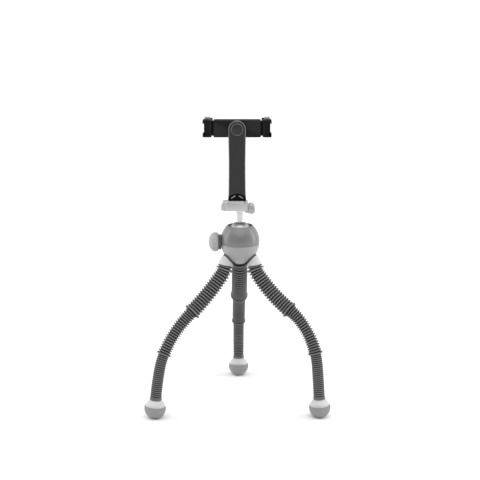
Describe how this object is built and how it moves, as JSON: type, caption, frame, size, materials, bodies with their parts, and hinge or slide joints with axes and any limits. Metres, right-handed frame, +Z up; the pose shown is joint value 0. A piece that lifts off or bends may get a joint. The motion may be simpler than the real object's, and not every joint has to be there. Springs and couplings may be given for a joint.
{
  "type": "flexible phone tripod",
  "caption": "Small three-legged stand with bendable ribbed legs, ball head, quick-release clamp and an upright arm with a geared phone clamp.",
  "frame": {"origin": "on the floor under the axis of the ball head, where the three rubber feet stand at z = 0", "axes": "+Z up along the ball head's axis; -Y is the front, where the upright arm shows; +X is to the right seen from the front, away from the lock knob"},
  "size_m": [0.2445, 0.2073, 0.3865],
  "materials": {
    "light_plastic": "light grey moulding, soft gloss",
    "pale_plastic": "palest grey moulding, soft gloss",
    "dome_plastic": "mid grey, satin",
    "bowl_plastic": "light grey, satin",
    "black_plastic": "near black, satin",
    "clamp_plastic": "near black, satin",
    "rib_rubber": "dark grey ribbed rubber",
    "foot_rubber": "mid grey rubber",
    "pad_rubber": "light grey rubber",
    "clamp_metal": "light grey satin paint on die-cast metal",
    "polished_steel": "polished",
    "steel": "bright zinc",
    "brass": "plain",
    "nylon": "natural nylon"
  },
  "bodies": {
    "base": {"leg_hub": "pale_plastic", "bowl": "bowl_plastic", "dome": "dome_plastic", "left_root_sleeve": "rib_rubber", "right_root_sleeve": "rib_rubber", "rear_root_sleeve": "rib_rubber"},
    "lock_knob": {"lock_knob": "light_plastic", "knob_grip": "rib_rubber", "knob_screw": "steel"},
    "pressure_pin": {"pressure_pin": "brass"},
    "friction_ring": {"friction_ring": "black_plastic"},
    "ball_seat": {"ball_seat": "nylon"},
    "ball": {"ball_stem": "polished_steel", "qr_base": "clamp_metal", "lever_pin": "steel", "jaw_springs": "steel", "qr_plate": "clamp_metal", "plate_screw": "steel", "mount_arm": "black_plastic", "pivot_screw": "steel", "pivot_cap": "black_plastic"},
    "qr_lever": {"qr_lever": "light_plastic"},
    "qr_jaw": {"qr_jaw": "clamp_metal"},
    "clamp": {"clamp_bar": "clamp_plastic", "clamp_cover": "clamp_plastic"},
    "jaw_left": {"jaw_left": "clamp_plastic", "pad_left": "pad_rubber"},
    "jaw_right": {"jaw_right": "clamp_plastic", "pad_right": "pad_rubber"},
    "pinion": {"pinion": "nylon"},
    "left_upper": {"left_upper_sleeve": "rib_rubber", "left_upper_link": "steel", "left_knee_sleeve": "rib_rubber"},
    "left_middle": {"left_middle_sleeve": "rib_rubber", "left_middle_link": "steel", "left_ankle_sleeve": "rib_rubber"},
    "left_lower": {"left_lower_sleeve": "rib_rubber", "left_lower_link": "steel", "left_foot_cap": "pale_plastic", "left_foot_pad": "foot_rubber"},
    "right_upper": {"right_upper_sleeve": "rib_rubber", "right_upper_link": "steel", "right_knee_sleeve": "rib_rubber"},
    "right_middle": {"right_middle_sleeve": "rib_rubber", "right_middle_link": "steel", "right_ankle_sleeve": "rib_rubber"},
    "right_lower": {"right_lower_sleeve": "rib_rubber", "right_lower_link": "steel", "right_foot_cap": "pale_plastic", "right_foot_pad": "foot_rubber"},
    "rear_upper": {"rear_upper_sleeve": "rib_rubber", "rear_upper_link": "steel", "rear_knee_sleeve": "rib_rubber"},
    "rear_middle": {"rear_middle_sleeve": "rib_rubber", "rear_middle_link": "steel", "rear_ankle_sleeve": "rib_rubber"},
    "rear_lower": {"rear_lower_sleeve": "rib_rubber", "rear_lower_link": "steel", "rear_foot_cap": "pale_plastic", "rear_foot_pad": "foot_rubber"}
  },
  "joints": [
    {"name": "ball_pan", "type": "hinge", "parent": "base", "child": "friction_ring", "pos_m": [0, 0, 0.23767], "axis": [0, 0, 1], "continuous": true},
    {"name": "ball_tilt", "type": "hinge", "parent": "friction_ring", "child": "ball_seat", "pos_m": [0, 0, 0.23767], "axis": [1, 0, 0], "range_deg": [-20, 20]},
    {"name": "ball_roll", "type": "hinge", "parent": "ball_seat", "child": "ball", "pos_m": [0, 0, 0.23767], "axis": [0, 1, 0], "range_deg": [-18, 18]},
    {"name": "lock_knob_turn", "type": "hinge", "parent": "base", "child": "lock_knob", "pos_m": [-0.0257, 0, 0.22417], "axis": [-1, 0, 0], "range_deg": [0, 270]},
    {"name": "pressure_pin_slide", "type": "slide", "parent": "base", "child": "pressure_pin", "axis": [-1, 0, 0], "range_m": [0, 0.0006]},
    {"name": "qr_lever_turn", "type": "hinge", "parent": "ball", "child": "qr_lever", "pos_m": [0.0155, 0, 0.27287], "axis": [0, -1, 0], "range_deg": [0, 95]},
    {"name": "qr_jaw_slide", "type": "slide", "parent": "ball", "child": "qr_jaw", "axis": [1, 0, 0], "range_m": [0, 0.0008], "deforming": ["jaw_springs"]},
    {"name": "mount_pivot", "type": "hinge", "parent": "ball", "child": "clamp", "pos_m": [-0.0038, 0.0085, 0.37317], "axis": [0, 1, 0], "continuous": true},
    {"name": "jaw_left_slide", "type": "slide", "parent": "clamp", "child": "jaw_left", "axis": [-1, 0, 0], "range_m": [-0.0025, 0.0098]},
    {"name": "jaw_right_slide", "type": "slide", "parent": "clamp", "child": "jaw_right", "axis": [1, 0, 0], "range_m": [-0.0025, 0.0098]},
    {"name": "pinion_turn", "type": "hinge", "parent": "clamp", "child": "pinion", "pos_m": [-0.0038, 0.0163, 0.37317], "axis": [0, -1, 0], "range_deg": [-28.65, 112.3]},
    {"name": "left_root_bend", "type": "hinge", "parent": "base", "child": "left_upper", "pos_m": [-0.02135, -0.01107, 0.1879], "axis": [-0.4602, 0.8878, 0], "range_deg": [-30, 45], "deforming": ["left_root_sleeve"]},
    {"name": "left_knee_bend", "type": "hinge", "parent": "left_upper", "child": "left_middle", "pos_m": [-0.06914, -0.03584, 0.13121], "axis": [0.4602, -0.8878, 0], "range_deg": [-40, 45], "deforming": ["left_knee_sleeve"]},
    {"name": "left_ankle_bend", "type": "hinge", "parent": "left_middle", "child": "left_lower", "pos_m": [-0.10249, -0.05313, 0.07657], "axis": [0.4602, -0.8878, 0], "range_deg": [-40, 45], "deforming": ["left_ankle_sleeve"]},
    {"name": "right_root_bend", "type": "hinge", "parent": "base", "child": "right_upper", "pos_m": [0.02135, -0.01107, 0.1879], "axis": [-0.4602, -0.8878, 0], "range_deg": [-30, 45], "deforming": ["right_root_sleeve"]},
    {"name": "right_knee_bend", "type": "hinge", "parent": "right_upper", "child": "right_middle", "pos_m": [0.07175, -0.03719, 0.13461], "axis": [0.4602, 0.8878, 0], "range_deg": [-40, 45], "deforming": ["right_knee_sleeve"]},
    {"name": "right_ankle_bend", "type": "hinge", "parent": "right_middle", "child": "right_lower", "pos_m": [0.10023, -0.05195, 0.07728], "axis": [0.4602, 0.8878, 0], "range_deg": [-40, 45], "deforming": ["right_ankle_sleeve"]},
    {"name": "rear_root_bend", "type": "hinge", "parent": "base", "child": "rear_upper", "pos_m": [-0.00042, 0.02375, 0.1878], "axis": [0.9998, 0.0175, 0], "range_deg": [-30, 45], "deforming": ["rear_root_sleeve"]},
    {"name": "rear_knee_bend", "type": "hinge", "parent": "rear_upper", "child": "rear_middle", "pos_m": [-0.00129, 0.07373, 0.12831], "axis": [-0.9998, -0.0175, 0], "range_deg": [-40, 45], "deforming": ["rear_knee_sleeve"]},
    {"name": "rear_ankle_bend", "type": "hinge", "parent": "rear_middle", "child": "rear_lower", "pos_m": [-0.00201, 0.11504, 0.07619], "axis": [-0.9998, -0.0175, 0], "range_deg": [-40, 45], "deforming": ["rear_ankle_sleeve"]}
  ],
  "couplings": [
    {"joint": "pressure_pin_slide", "follows": "lock_knob_turn", "m_per_rad": 0.0001272},
    {"joint": "qr_jaw_slide", "follows": "qr_lever_turn", "m_per_rad": 0.00048201},
    {"joint": "jaw_right_slide", "follows": "jaw_left_slide", "ratio": 1},
    {"joint": "pinion_turn", "follows": "jaw_left_slide", "rad_per_m": 200}
  ]
}
